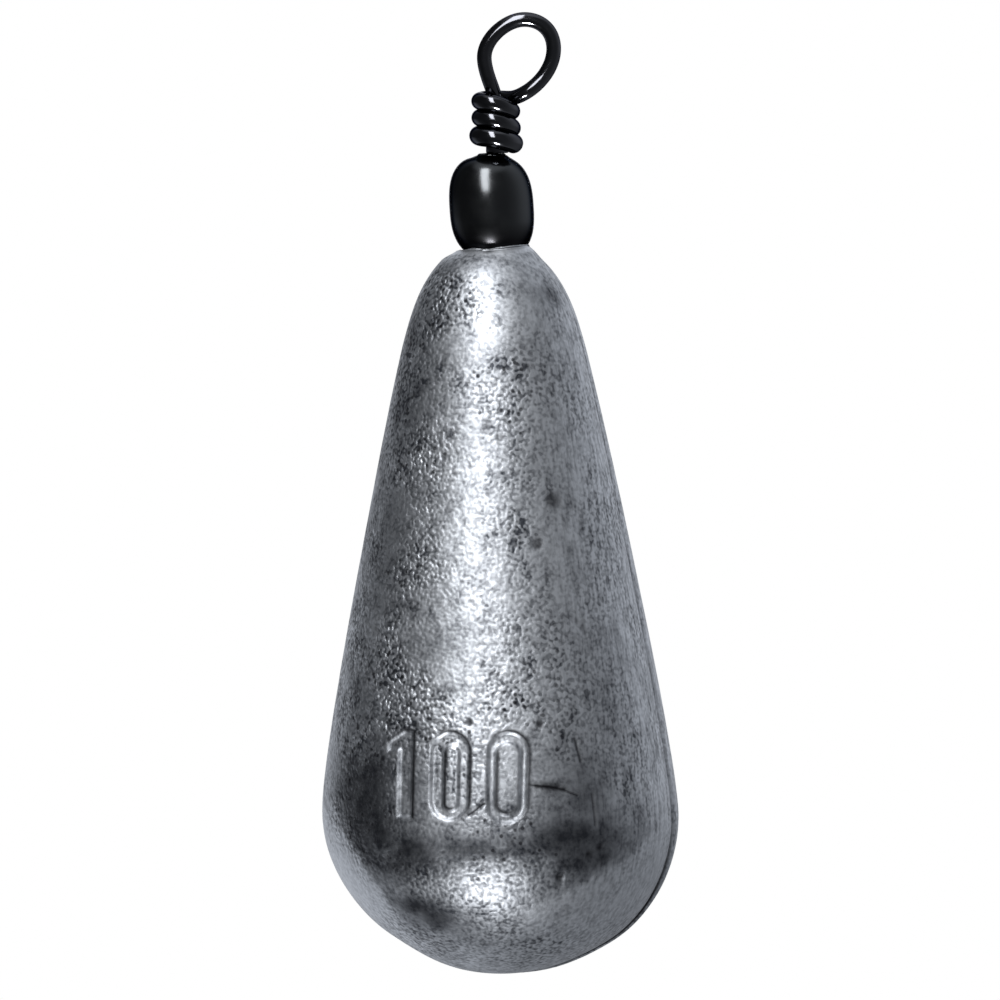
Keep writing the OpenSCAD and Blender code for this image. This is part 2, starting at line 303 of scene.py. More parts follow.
# Barrel: a hollow keg between a circle and a square, its ends closed in to a collar round each shank
barrel = {
    "width": 5.03, "height": 6.2, "wall": 0.25, "power": 2.72, "collarWidth": 1.66, "collarHeight": 0.1,
    "holeWidth": 0.94, "aside": -0.04, "leanDegrees": 2.8, "straightEnds": 0.3,
    "segments": 96, "outerRows": 34, "innerRows": 20}
halfBarrel = barrel["height"] / 2
barrelZ = domeZ - halfBarrel


def kegOutline(inset, rows):  # radius and height of the keg from its bottom to its top
    angles = np.linspace(-90, 90, rows) * math.pi / 180
    rises = np.sin(angles)
    radii = (1 - np.abs(rises) ** barrel["power"]) ** (1 / barrel["power"])
    return np.stack([(barrel["width"] / 2 - inset) * radii, (halfBarrel - inset) * rises], 1)


def kegLean(heights):  # the keg stands and leans a little to the left; its collars stay on the axis
    share = np.clip(heights / halfBarrel, -1, 1)
    held = 1 - eased(np.abs(heights), halfBarrel - barrel["straightEnds"], halfBarrel)
    return (barrel["aside"] - math.tan(math.radians(barrel["leanDegrees"])) * share * halfBarrel) * held


# From the dome out over the rolled collar and into the hole; side is 1 above, -1 below
def collarOutline(side):
    outer, hole = barrel["collarWidth"] / 2, barrel["holeWidth"] / 2
    top, foot = halfBarrel + barrel["collarHeight"], halfBarrel - 0.04
    return np.array([
        (outer + 0.12, foot), (outer + 0.04, foot + 0.03), (outer, foot + 0.07), (outer, top - 0.06),
        (outer - 0.03, top - 0.03), (outer - 0.09, top), (hole + 0.04, top), (hole, top - 0.05),
        (hole, foot - 0.1)]) * (1, side)


outside, inside = kegOutline(0, barrel["outerRows"]), kegOutline(barrel["wall"], barrel["innerRows"])
outside = outside[outside[:, 0] > barrel["collarWidth"] / 2 + 0.2]
inside = inside[inside[:, 0] > barrel["holeWidth"] / 2 + 0.1]
kegLoop = np.concatenate([outside, collarOutline(1), inside[::-1], collarOutline(-1)[::-1]])
turns = np.linspace(0, 2 * math.pi, barrel["segments"], endpoint=False)
kegPoints = np.stack([
    swivelX + np.outer(kegLoop[:, 0], np.cos(turns)) + kegLean(kegLoop[:, 1])[:, None],
    np.outer(kegLoop[:, 0], np.sin(turns)),
    np.repeat((barrelZ + kegLoop[:, 1])[:, None], barrel["segments"], 1)], 2).reshape(-1, 3)
makePiece("barrelShell", kegPoints, wrapFaces(len(kegLoop), barrel["segments"], closed=True),
    blackNickelBarrel, "sinker", "swivel_barrel")
print("barrel made")

# Upper eye: one wire from its head in the barrel up through the wraps, round the loop and down again in wraps
eye = {
    "wireWidth": 0.88, "shankWidth": 0.82, "headWidth": 1.7, "headHeight": 0.5, "headTop": domeZ - 0.4,
    "neckWidth": 1.34, "neckX": -1.26, "neckTop": -5.2, "coreX": -1.32, "coreTop": -3.1,
    "loopTurn": 12, "loopX": 0.1,
    "wrapWidth": 1.04, "wrapRadius": 0.95, "endWidth": 1.2, "endRound": 0.12,
    # the wire's end springs out a little, between these angles of the wraps
    "wrapWiden": 0.16, "widenDegrees": (760, 1080),
    # heights of the wire's middle round the wraps, a quarter turn apart: behind, left, in front, right ...
    "wrapHeights": (-2.76, -2.88, -2.96, -3.48, -3.7, -3.87, -3.95, -4.47, -4.75, -4.93, -5.02, -5.46),
    "sides": 28, "step": 0.09}

# Places that the loop's middle line passes
loopLeft, loopTop, loopRight, loopFoot = (-1.94, 0, -0.28), (0.45, 0, 1.94), (2.2, 0, 0.2), (0.7, 0, -2.28)
wrapAngles = np.arange(len(eye["wrapHeights"])) * 90 + 90


def wrapPoint(degrees):
    turned = np.radians(degrees)
    heights = np.interp(degrees, wrapAngles, eye["wrapHeights"])
    radius = eye["wrapRadius"] + eye["wrapWiden"] * eased(degrees, *eye["widenDegrees"])
    return np.stack([eye["coreX"] + radius * np.cos(turned), radius * np.sin(turned), heights], -1)


collarTop = domeZ + barrel["collarHeight"]
headBottom = eye["headTop"] - eye["headHeight"]
headRadius, shankRadius, neckRadius = eye["headWidth"] / 2, eye["shankWidth"] / 2, eye["neckWidth"] / 2
shankRings = [  # middle's x, height and radius of each level ring, from the head up to the wraps
    (swivelX, headBottom, headRadius - 0.08), (swivelX, headBottom + 0.08, headRadius),
    (swivelX, eye["headTop"] - 0.05, headRadius), (swivelX, eye["headTop"], headRadius - 0.05),
    (swivelX, eye["headTop"], shankRadius), (swivelX, collarTop + 0.02, shankRadius),
    (eye["neckX"], collarTop + 0.03, neckRadius - 0.03), (eye["neckX"], collarTop + 0.08, neckRadius),
    (eye["neckX"], eye["neckTop"], neckRadius), (eye["coreX"], eye["neckTop"], eye["wireWidth"] / 2)]
coreEnd, intoWraps = (eye["coreX"], 0, eye["coreTop"]), (eye["coreX"] + 0.7, eye["wrapRadius"], -2.74)
wireLine = np.concatenate([
    [(eye["coreX"], 0, z) for z in np.linspace(eye["neckTop"] + 0.05, eye["coreTop"], 20)],
    bezier(coreEnd, (eye["coreX"], 0, -2.3), (-1.95, 0, -1.2), loopLeft, 24)[1:],
    bezier(loopLeft, (-1.92, 0, 0.84), (-0.6, 0, loopTop[2]), loopTop, 40)[1:],
    bezier(loopTop, (1.47, 0, loopTop[2]), (loopRight[0], 0, 1.25), loopRight, 40)[1:],
    bezier(loopRight, (loopRight[0], 0, -0.75), (1.56, 0, -1.7), loopFoot, 30)[1:],
    bezier(loopFoot, (-0.23, 0, -2.86), intoWraps, wrapPoint(90), 30)[1:],
    wrapPoint(np.linspace(90, wrapAngles[-1], 240))[1:]])
loopShare = eased(wireLine[:, 2], -2.9, -1.4)  # the loop is bent a little round, its left side to the front
loopAside = (wireLine[:, 0] - eye["loopX"]) * loopShare
wireLine[:, 0] -= loopAside * (1 - math.cos(math.radians(eye["loopTurn"])))
wireLine[:, 1] += loopAside * math.sin(math.radians(eye["loopTurn"]))


def evenLine(line, step):  # the same line with its points a step apart, a little smoothed
    lengths = np.concatenate([[0], np.cumsum(np.linalg.norm(np.diff(line, axis=0), axis=1))])
    even = np.linspace(0, lengths[-1], round(lengths[-1] / step) + 1)
    points = np.stack([np.interp(even, lengths, line[:, i]) for i in range(3)], 1)
    for _ in range(3):
        points[1:-1] = (points[:-2] + 2 * points[1:-1] + points[2:]) / 4
    return points, even


def tubePoints(line, ways, radii, sides):  # rings carried along the line without a twist
    side, points = np.array([1.0, 0, 0]), []
    angles = np.linspace(0, 2 * math.pi, sides, endpoint=False)
    for middle, way, radius in zip(line, ways, radii):
        side = side - side.dot(way) * way
        side /= np.linalg.norm(side)
        across = np.cross(way, side)
        points.append(middle + radius * (np.outer(np.cos(angles), side) + np.outer(np.sin(angles), across)))
    return np.concatenate(points)


wireLine, along = evenLine(wireLine, eye["step"])
left = along[-1] - along
wrapLong = math.radians(wrapAngles[-1] - 90) * eye["wrapRadius"]
# The plate lies thick on the wraps, most of all at their end, and fills their corners
thick = 1 - eased(left, wrapLong - 0.4, wrapLong + 1.2)
towardsEnd = 1 - eased(left, 0.5, wrapLong * 0.6)
wrapWidths = eye["wrapWidth"] + (eye["endWidth"] - eye["wrapWidth"]) * towardsEnd
wireRadii = (eye["wireWidth"] + (wrapWidths - eye["wireWidth"]) * thick) / 2
# The cut end is blunt, with its edge rounded
endShare = 1 - left / eye["endRound"]
wireRadii *= np.where(endShare > 0, np.sqrt(np.clip(1 - 0.5 * endShare ** 2, 0, 1)), 1)
wireWays = np.gradient(wireLine, axis=0)
wireWays /= np.linalg.norm(wireWays, axis=1)[:, None]
shankLine = np.array([(x, 0, z) for x, z, radius in shankRings])
wireLine = np.concatenate([shankLine, wireLine])
wireWays = np.concatenate([np.tile((0.0, 0.0, 1.0), (len(shankRings), 1)), wireWays])
wireRadii = np.concatenate([[radius for x, z, radius in shankRings], wireRadii])
wirePoints = np.concatenate([
    tubePoints(wireLine, wireWays, wireRadii, eye["sides"]), wireLine[:1], wireLine[-1:]])
wireRings = len(wireLine)
makePiece("lineEye", wirePoints, wrapFaces(wireRings, eye["sides"]) + capFaces(wireRings, eye["sides"]),
    blackNickelWire, "eye", "line_eye")
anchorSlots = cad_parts["anchor_eye"].data.materials
anchorSlots.clear()
anchorSlots.append(blackNickelWire)
print("wire eye made")

# Lead casting: two mould halves that closed a little out of line, sunk numerals, and the marks of the pour
casting = {
    "height": 43.6, "width": 21.3, "baseHeight": 9.5, "crownWidth": 4.3,
    "shoulderWidth": 10.8, "shoulderDepth": 5.6, "shoulderAngle": 58,
    # how far the outline's curves pull out at their upper and lower ends, and the lean where they meet
    "shoulderPulls": (0.46, 0.27), "flankPulls": (0.08, 0.14), "flankLean": 0.28,
    "mouldSkew": 0.3, "mouldDrop": 0.12, "leftFlat": 0.27, "baseHollow": 0.1, "baseAside": 0.16,
    "crownTilt": 0.08, "numeralsDeep": 0.17, "waveDeep": 0.035, "rippleDeep": 0.014,
    "seamDeep": 0.05, "lowSeamDeep": 0.13, "lipHeight": 0.03, "lipHigher": 0.1, "lipRagged": 0.04,
    # distance between the mesh's rows in mm and between its columns in degrees, where there is fine detail,
    # and how much closer they are there
    "rowGap": 0.34, "numeralRows": (9.8, 16.3), "numeralRowsCloser": 0.26, "pitRows": (26.0, 29.6),
    "pitRowsCloser": 0.2, "crownRowsCloser": 0.2, "columnGap": 2.0, "numeralColumns": (-32, 50),
    "numeralColumnsCloser": 1.55, "seamColumnsCloser": 1.85}

halfWidth, shoulderDepth = casting["width"] / 2, casting["shoulderDepth"]
wideZ = baseZ + casting["baseHeight"]
shoulderTop = np.array([casting["crownWidth"] / 2, crownZ])
shoulderFoot = np.array([casting["shoulderWidth"] / 2, crownZ - shoulderDepth])
flankHeight = casting["height"] - shoulderDepth - casting["baseHeight"]
flankWay = np.array([casting["flankLean"], -1])
slope = math.radians(casting["shoulderAngle"])
crownWay = np.array([math.sin(slope), -math.cos(slope)])
baseTurns = np.linspace(math.pi / 2, 0, 300)[:, None]
pear = np.concatenate([
    np.hstack([halfWidth * np.cos(baseTurns), wideZ - casting["baseHeight"] * np.sin(baseTurns)]),
    bezier((halfWidth, wideZ), (halfWidth, wideZ + casting["flankPulls"][1] * flankHeight),
        shoulderFoot + casting["flankPulls"][0] * flankHeight * flankWay, shoulderFoot, 400)[1:],
    bezier(shoulderFoot, shoulderFoot - casting["shoulderPulls"][1] * shoulderDepth * flankWay,
        shoulderTop + casting["shoulderPulls"][0] * shoulderDepth * crownWay, shoulderTop, 200)[1:]])


def onSurface(azimuth, height):  # point on the lead; azimuth is from -Y towards +X, in degrees
    radius, turned = np.interp(height, pear[:, 1] - baseZ, pear[:, 0]), np.radians(azimuth)
    return np.array([swivelX + radius * np.sin(turned), -radius * np.cos(turned), baseZ + height])


def nearCrown(heights, start, full):  # 0 up to a depth below the crown, 1 from a lesser depth
    return eased(heights, casting["height"] - start, casting["height"] - full)


# Rows from the base up to the crown, and columns round the axis
rowLengths = np.concatenate([[0], np.cumsum(np.linalg.norm(np.diff(pear, axis=0), axis=1))])
rowHeights = pear[:, 1] - baseZ
rowSpacing = casting["rowGap"] - casting["numeralRowsCloser"] * within(
    rowHeights, *casting["numeralRows"], 0.8)
rowSpacing -= casting["crownRowsCloser"] * nearCrown(rowHeights, 1.2, 0.2)
rowSpacing -= casting["pitRowsCloser"] * within(rowHeights, *casting["pitRows"], 0.5)
rowPlaces = spread(rowLengths, rowSpacing)[1:]
outline = np.stack([np.interp(rowPlaces, rowLengths, pear[:, i]) for i in (0, 1)], 1)
fineAngles = np.linspace(-180, 180, 7201)
angleSpacing = casting["columnGap"] - casting["numeralColumnsCloser"] * within(
    fineAngles, *casting["numeralColumns"], 3)
angleSpacing -= casting["seamColumnsCloser"] * (1 - eased(np.abs(np.abs(fineAngles) - 90), 0.8, 2.5))
columns = spread(fineAngles, angleSpacing)[:-1]

angles = np.radians(columns)
azimuths = np.tile(columns, len(outline))
sideways, forwards = np.sin(np.radians(azimuths)), -np.cos(np.radians(azimuths))
heights = np.repeat(outline[:, 1] - baseZ, len(columns))
radii = np.repeat(outline[:, 0], len(columns))
points = np.stack([swivelX + radii * sideways, radii * forwards, baseZ + heights], 1)
ways = np.gradient(outline, axis=0)
ways /= np.linalg.norm(ways, axis=1)[:, None]
outwardLevel, outwardUp = np.repeat(ways[:, 1], len(columns)), np.repeat(-ways[:, 0], len(columns))
outwards = np.stack([outwardLevel * sideways, outwardLevel * forwards, outwardUp], 1)
across = points[:, 0] - swivelX
front = points[:, 1] < 0

# Numerals, from the axis and the base. A zero is a groove between two stadiums: the middle, width, bottom and
# top of the outer one, then of the inner one. The one is a polygon
wideZero = (-0.58, 2.5, 10.45, 15.68), (-0.5, 0.73, 11.15, 14.75)
thinZero = (2.81, 2.4, 10.27, 15.7), (2.85, 1.2, 10.92, 14.95)
one = [
    (-3.95, 10.5), (-2.88, 10.5), (-2.88, 15.65), (-3.55, 15.65), (-4.7, 14.92), (-4.7, 14.2), (-3.95, 14.45)]


def outsideStadium(x, y, middle, width, low, high):  # distance outside it, less than 0 inside
    half = width / 2
    beyond = np.abs(y - (low + high) / 2) - ((high - low) / 2 - half)
    return np.hypot(x - middle, np.maximum(beyond, 0)) - half


def outsidePolygon(x, y, corners):
    nearest, inner = np.full(len(x), 1e9), np.zeros(len(x), bool)
    for (ax, ay), (bx, by) in zip(corners, corners[1:] + corners[:1]):
        dx, dy = bx - ax, by - ay
        share = np.clip(((x - ax) * dx + (y - ay) * dy) / (dx ** 2 + dy ** 2), 0, 1)
        nearest = np.minimum(nearest, np.hypot(x - ax - share * dx, y - ay - share * dy))
        if dy:
            inner ^= ((y < ay) != (y < by)) & (x < ax + (y - ay) * dx / dy)
    return np.where(inner, -nearest, nearest)


def outsideNumerals(x, y):
    shapes = [np.maximum(outsideStadium(x, y, *outer), -outsideStadium(x, y, *inner))
        for outer, inner in (wideZero, thinZero)]
    return np.where(front, np.minimum.reduce(shapes + [outsidePolygon(x, y, one)]), 9)


numerals = outsideNumerals(across, heights)
depth = casting["numeralsDeep"] * (1 - eased(numerals, -0.24, 0.03))

# Painted shade in the grooves, thickest along their upper right edges, found by a step to the lower left
stepX, stepY, stepLong = 0.07, 0.05, 0.086
shaded = (numerals - outsideNumerals(across - stepX, heights - stepY)) / stepLong
sootAndShade = bell(numerals, 0.03, 0.12) * np.clip(0.4 + 0.7 * shaded, 0, 0.95)

# The skin is calm on the right side, in the grooves, on the base, at the crown and low on the left
lowLeft = eased(-azimuths, 36, 48) * (1 - eased(heights, 7.5, 9.5 + np.clip(-44 - azimuths, 0, 9) / 8))
calm = np.maximum.reduce([
    eased(azimuths, 24, 50) * (1 - eased(azimuths, 150, 175)),
    eased(numerals, -0.36, -0.26) * (1 - eased(numerals, 0.02, 0.1)),
    0.7 * (1 - eased(heights, 6.0, 8.5)), nearCrown(heights, 1.6, 0.9), lowLeft])
gritty = 0.24 + 0.68 * bell(azimuths, -38, 21)

# Marks of the pour and of use: azimuth and height of each point, width, depth and darkness
# The darkness is painted shade in the mark, with some dirt
marks = [
    ([(23.7, 12.55), (30.7, 12.4), (35.0, 12.15), (39.4, 11.8)], 0.08, 0.05, 0.9),
    ([(25.2, 12.5), (35.0, 12.2)], 0.17, 0.03, 1.0),
    ([(28.0, 12.45), (32.5, 12.32)], 0.27, 0.02, 1.0),
    ([(3.7, 10.85), (8.3, 11.5)], 0.12, 0.1, 0.95),
    ([(40.1, 15.1), (41.6, 13.8)], 0.13, 0.06, 0.85),
    ([(43.1, 22.3), (49.2, 21.3)], 0.12, 0.06, 0.6),
    ([(42.7, 8.3), (47.2, 8.6)], 0.16, 0.05, 0.95),
    ([(13.7, 8.4), (18.0, 9.4)], 0.12, 0.06, 0.5),
    ([(45.0, 11.8), (45.5, 10.0)], 0.12, 0.07, 0.6),
    ([(-68, 10.8), (-44, 9.35), (-34, 7.55)], 0.22, 0.05, 0.35)]

# Pits: azimuth, height, width, depth and darkness
# The darkness is painted shade in the pit, with some dirt
pits = [
    (33.5, 6.9, 0.3, 0.14, 0.9), (3.0, 16.2, 0.24, 0.05, 0.8), (27.7, 16.05, 0.26, 0.04, 0.85),
    (40.8, 29.0, 0.56, 0.04, 0.62), (31.3, 26.5, 0.36, 0.04, 0.7), (9.6, 33.4, 0.35, 0.04, 0.4),
    (16.4, 32.75, 0.3, 0.04, 0.4)]

# Darker patches of the oxide skin, most of them low on both sides: azimuth, height, half width, half height
# and strength
oxidePatches = [
    (-18, 5.0, 2.2, 1.2, 1.0), (-29, 9.6, 2.8, 2.4, 1.0), (-33, 13.0, 2.4, 2.6, 0.95),
    (-24, 9.0, 2.2, 1.6, 0.8), (-33, 8.2, 2.4, 1.4, 0.8), (-36, 10.8, 4.0, 4.6, 1.0),
    (-16, 8.5, 3.0, 1.7, 1.0), (-22, 7.6, 2.6, 1.3, 0.9), (-38, 6.8, 2.0, 1.6, 0.6),
    (-30, 5.2, 2.4, 1.4, 0.5), (-44, 12.0, 2.8, 3.6, 0.9), (-15, 12.2, 1.1, 1.8, 0.7),
    (-12, 4.4, 2.6, 1.2, 1.0), (-8, 7.6, 2.4, 0.8, 0.65), (6, 8.8, 4.5, 1.1, 0.9),
    (35, 9.3, 5.0, 2.6, 0.95), (42, 8.5, 4.8, 3.2, 0.9), (42, 11.5, 2.4, 3.6, 0.75),
    (28, 9.1, 5.0, 2.0, 0.85), (40, 13.5, 2.6, 2.2, 0.5), (27, 7.4, 1.8, 0.8, 0.7),
    (-44, 17.0, 2.0, 4.0, 0.6), (-10, 20.7, 2.6, 1.2, 0.45), (-41, 27.0, 2.0, 6.0, 0.6),
    (-62, 28.0, 1.2, 6.0, 0.4), (-41, 34.0, 1.8, 3.5, 0.65), (54, 17.0, 1.6, 5.0, 0.35),
    (8, 33.0, 3.5, 1.5, 0.3), (6, 37.0, 3.5, 2.0, 0.35), (-37, 37.5, 1.5, 2.0, 0.6),
    (-55, 39.0, 2.0, 2.5, 0.7), (-38, 40.5, 1.4, 2.0, 0.45), (62, 41.0, 1.2, 0.8, 0.7),
    (-38, 42.3, 1.2, 0.9, 0.6), (2, 42.7, 1.7, 0.8, 0.5)]


def fromLine(line):  # distance of each point of the surface from a line drawn on it
    nearest = np.full(len(points), 1e9)
    corners = [onSurface(*corner) for corner in line]
    for a, b in zip(corners, corners[1:]):
        share = np.clip(((points - a) @ (b - a)) / ((b - a) @ (b - a)), 0, 1)
        nearest = np.minimum(nearest, np.linalg.norm(points - a - share[:, None] * (b - a), axis=1))
    return nearest


for line, width, deep, dark in marks:
    near = bell(fromLine(line), 0, width)
    depth = depth + deep * near
    sootAndShade = np.maximum(sootAndShade, dark * near)
for azimuth, height, width, deep, dark in pits:
    away = np.linalg.norm(points - onSurface(azimuth, height), axis=1)
    near = 1 - eased(away, 0.5 * width, 1.3 * width)
    depth = depth + deep * near
    sootAndShade = np.maximum(sootAndShade, dark * near)

oxide = np.zeros(len(points))
ragged = lumps(points, 1.5, 9, 3)  # of the edges of the patches and of the rubbed skin
for azimuth, height, halfWide, halfHigh, strong in oxidePatches:
    away = points - onSurface(azimuth, height)
    awayLevel = np.hypot(away[:, 0], away[:, 1]) / halfWide
    near = np.exp(-(awayLevel ** 2 + (away[:, 2] / halfHigh) ** 2) * (1 + 1.6 * ragged))
    oxide = np.maximum(oxide, strong * near)
oxide = np.maximum(oxide, 0.22 * nearCrown(heights, 4.0, 2.0))
oxide *= 1 - nearCrown(heights, 0.35, 0.1)
gritty *= 1 - 0.4 * oxide  # the oxide skin lies smoothly over the grain
gritty *= 1 - 0.55 * eased(heights, 36.0, 39.5) * eased(azimuths, -34, -18)  # the crown chilled smoothly

# Low on both sides the skin is rubbed clean, below a slanting line, and so is the lip's top. Oxide less
# than 0 marks this
leftLine = np.minimum(5.0 + (-azimuths - 29) / 4.5, 10.8)
rightLine = 5.7 + 0.08 * (azimuths - 34)
beyondLine = heights + 1.5 * ragged - np.where(azimuths < 0, leftLine, rightLine)
sides = 0.85 * eased(-azimuths, 29, 37) * (1 - eased(-azimuths, 120, 150))
sides += 0.6 * eased(azimuths, 12, 30) * (1 - eased(azimuths, 86, 90))
rubbed = sides * (1 - eased(beyondLine, -0.4, 0.4)) * eased(heights, 2.0, 6.0)
oxide = oxide * (1 - rubbed) - np.maximum(rubbed, nearCrown(heights, 0.35, 0.15))
sootAndShade = np.maximum(sootAndShade, 0.42 * eased(oxide, 0.6, 1.0))  # the patches are blackest in their middles
# Painted shade at the crown's front, where the barrel meets the lead between the lip's clean parts
lipGap = 0.8 * bell(columns, 8, 9)  # dark and low in the middle, between the lip's two clean parts
sootAndShade = np.maximum(sootAndShade, np.tile(lipGap, len(outline)) * nearCrown(heights, 0.3, 0.1))

# The base is a little flat low on its left, and drawn in a little all round
flat = bell(azimuths, -77, 55) * eased(heights, 0, 2.4) * (1 - eased(heights, 4, 12))
depth = depth + casting["leftFlat"] * flat + casting["baseHollow"] * bell(heights, 1.3, 1.0)

# Shallow waves of the cast skin, only ever inwards, so that the lead keeps within its size
waves = casting["waveDeep"] * (lumps(points, 7, 1) + 0.5)
waves = waves + casting["rippleDeep"] * (lumps(points, 1.6, 2, 2) + 0.5)

# Parting line: a groove all the way, deeper low on the right; painted shade along it, black low on the right
seam = (np.abs(azimuths) - 90) * np.radians(1) * radii  # distance past it, more than 0 at the rear
lowRight = (1 - eased(heights, 4, 11)) * (azimuths > 0)
groove = bell(seam, -0.03, 0.08) * (casting["seamDeep"] + casting["lowSeamDeep"] * lowRight)
depth = depth + waves + groove
sootAndShade = np.maximum(sootAndShade, 0.2 * bell(seam, -0.04, 0.07))
sootAndShade = np.maximum(sootAndShade, 0.95 * lowRight * within(seam, -0.04, 0.1, 0.1))
points = points - outwards * depth[:, None]
points[:, 0] += casting["baseAside"] * (1 - eased(heights, 0, 8))
points[:, 2] += casting["crownTilt"] * (points[:, 0] - swivelX) * nearCrown(heights, 0.7, 0)

# The rear half turned a little about the crown and sat a little lower
tilt = math.radians(casting["mouldSkew"])
beside, above = points[:, 0] - swivelX, points[:, 2] - crownZ
moved = np.stack([
    beside * math.cos(tilt) - above * math.sin(tilt) - beside, 0 * heights,
    beside * math.sin(tilt) + above * math.cos(tilt) - above - casting["mouldDrop"]], 1)
points = points + moved * eased(seam, -0.02, 0.35)[:, None]

# Crown: a thin ragged lip that the lead left round the barrel, and the socket down round the barrel's end.
# Each ring of the lip has its radius, its lift as a share of the lip's height, and its darkness
# The rings' darkness is painted shade in the creases beside the lip; the socket's is painted shade too
lipRings = [(2.14, -0.3, 0.6), (2.1, 0.5, 0), (2.06, 1.0, 0), (2.02, 0.8, 0.1), (1.995, -0.6, 0.6)]
socketDark = 0.8
rear = np.abs(columns) > 90


def levelRing(radius, level, aside):  # points round the swivel's axis, one for each column
    return np.stack([
        swivelX + radius * np.sin(angles) + aside, -radius * np.cos(angles), level + 0 * angles], 1)


socket = kegOutline(-0.02, 60)
socket = socket[(socket[:, 1] < crownZ - barrelZ - 0.12) & (socket[:, 0] > 0.2)][::-1]
lipNoise = lumps(np.stack([3 * np.sin(angles), -3 * np.cos(angles), 0 * angles], 1), 1.1, 5, 2)
lipHigh = bell(columns, -24, 15) + bell(columns, 46, 26) + 0.6 * rear
lipHeights = casting["lipHeight"] + casting["lipHigher"] * lipHigh + casting["lipRagged"] * lipNoise
rings = [
    levelRing(radius, crownZ + lift * lipHeights - casting["mouldDrop"] * 0.8 * rear
        + casting["crownTilt"] * radius * np.sin(angles), kegLean(crownZ - barrelZ))
    for radius, lift, dark in lipRings]
rings += [levelRing(radius, barrelZ + height, kegLean(height)) for radius, height in socket]
baseMiddle = (swivelX + 0.22, 0, baseZ - casting["mouldDrop"] / 2 + 0.03)
socketMiddle = (swivelX, 0, barrelZ - halfBarrel - 0.02)
castPoints = np.concatenate([points] + rings + [[baseMiddle, socketMiddle]])
castRings = len(outline) + len(rings)
castFaces = wrapFaces(castRings, len(columns)) + capFaces(castRings, len(columns))
lead = makePiece("leadCasting", castPoints, castFaces, castLead, "sinker", "lead_body")

# The skin's attributes, for the pear and then for the rings and the two middles
# Painted shade for the lip's rings and the socket
ringDark = [dark for radius, lift, dark in lipRings] + [socketDark] * len(socket)
lipShade = np.maximum.outer(ringDark, lipGap).ravel()
rest = len(lipShade) + 2
for name, values, restValues in (
        ("sootAndShade", sootAndShade, np.append(lipShade, (0, socketDark))), ("calm", calm, np.ones(rest)),
        ("oxide", oxide, -np.ones(rest)), ("gritty", gritty, np.ones(rest))):
    attribute = lead.data.attributes.new(name, "FLOAT", "POINT")
    attribute.data.foreach_set("value", np.concatenate([values, restValues]))
print("lead casting made:", len(lead.data.vertices), "points")

# Light: one tall narrow softbox high on the left of the camera, a small card low in front, and a grey cloth
# tent that is white behind the sinker
lightSet = {
    "softbox": {"angle": -18, "rise": 45, "roll": 9, "size": (210, 690), "watts": 4.8},
    "lowCard": {"angle": -12, "rise": -53, "roll": 0, "size": (150, 85), "watts": 11.0},
    "distance": 600, "fill": 0.45, "tentRadius": 800, "clothTint": (0.96, 0.99, 1.05),
    "ground": (0.34, 0.35, 0.37, 1), "ceiling": (0.72, 0.74, 0.77, 1)}
middle = Vector((swivelX, 0, -27)) * mm
for name in ("softbox", "lowCard"):
    box = lightSet[name]
    side, lift = turn - math.pi / 2 + math.radians(box["angle"]), math.radians(box["rise"])
    towards = Vector((math.cos(side) * math.cos(lift), math.sin(side) * math.cos(lift), math.sin(lift)))
    lamp = bpy.data.objects.new(name, bpy.data.lights.new(name, "AREA"))
    lamp.data.shape = "RECTANGLE"
    lamp.data.size, lamp.data.size_y = (s * mm for s in box["size"])
    lamp.data.energy = box["watts"]
    lamp.location = middle + towards * lightSet["distance"] * mm
    lamp.rotation_mode = "QUATERNION"
    facing = (-towards).to_track_quat("-Z", "Y").to_matrix()
    rolled = facing @ Matrix.Rotation(math.radians(box["roll"]), 3, "Z")
    lamp.rotation_quaternion = rolled.to_quaternion()
    lamp.visible_camera = False
    bpy.context.scene.collection.objects.link(lamp)

# Tent cloth: only reflections see it. Its grey is set by the angle round the sinker, with the camera at 0,
# once for the upper part and once for below the sinker's middle
upperGreys = [
    (-180, 1.0), (-155, 0.7), (-140, 0.25), (-120, 0.07), (-85, 0.05), (-60, 0.06), (0, 0.12), (45, 0.13),
    (70, 0.22), (100, 0.48), (130, 0.8), (160, 0.9), (180, 1.0)]
lowerGreys = [
    (-180, 0.35), (-165, 0.7), (-140, 1.0), (-125, 0.85), (-112, 0.4), (-95, 0.1), (-60, 0.05), (0, 0.08),
    (60, 0.18), (90, 0.25), (120, 0.3), (150, 0.32), (180, 0.3)]
tentSize = lightSet["tentRadius"] * mm
tentCloth, tree = newMaterial("tentCloth")
place = addNode(tree, "TexCoord").outputs["Object"]
around = addNode(tree, "TexGradient", {"Vector": place}, gradient_type="RADIAL").outputs["Fac"]
ramps = []
for greys in (upperGreys, lowerGreys):
    ramp = addNode(tree, "ValToRGB", {"Fac": around})
    for angle, grey in greys[1:-1]:
        ramp.color_ramp.elements.new(angle / 360 + 0.5)
    for element, (angle, grey) in zip(ramp.color_ramp.elements, greys):
        element.position = angle / 360 + 0.5
        element.color = [share * grey for share in lightSet["clothTint"]] + [1]
    ramps.append(ramp.outputs["Color"])
level = addNode(tree, "SeparateXYZ", {"Vector": place}).outputs["Z"]
lowPart = addNode(tree, "MapRange", {
    "Value": level, "From Min": 0.0, "From Max": -0.25 * tentSize}).outputs["Result"]
ground = addNode(tree, "MapRange", {
    "Value": level, "From Min": -0.8 * tentSize, "From Max": -0.96 * tentSize},
    interpolation_type="SMOOTHSTEP").outputs["Result"]
ceiling = addNode(tree, "MapRange", {
    "Value": level, "From Min": 0.8 * tentSize, "From Max": 0.97 * tentSize},
    interpolation_type="SMOOTHSTEP").outputs["Result"]
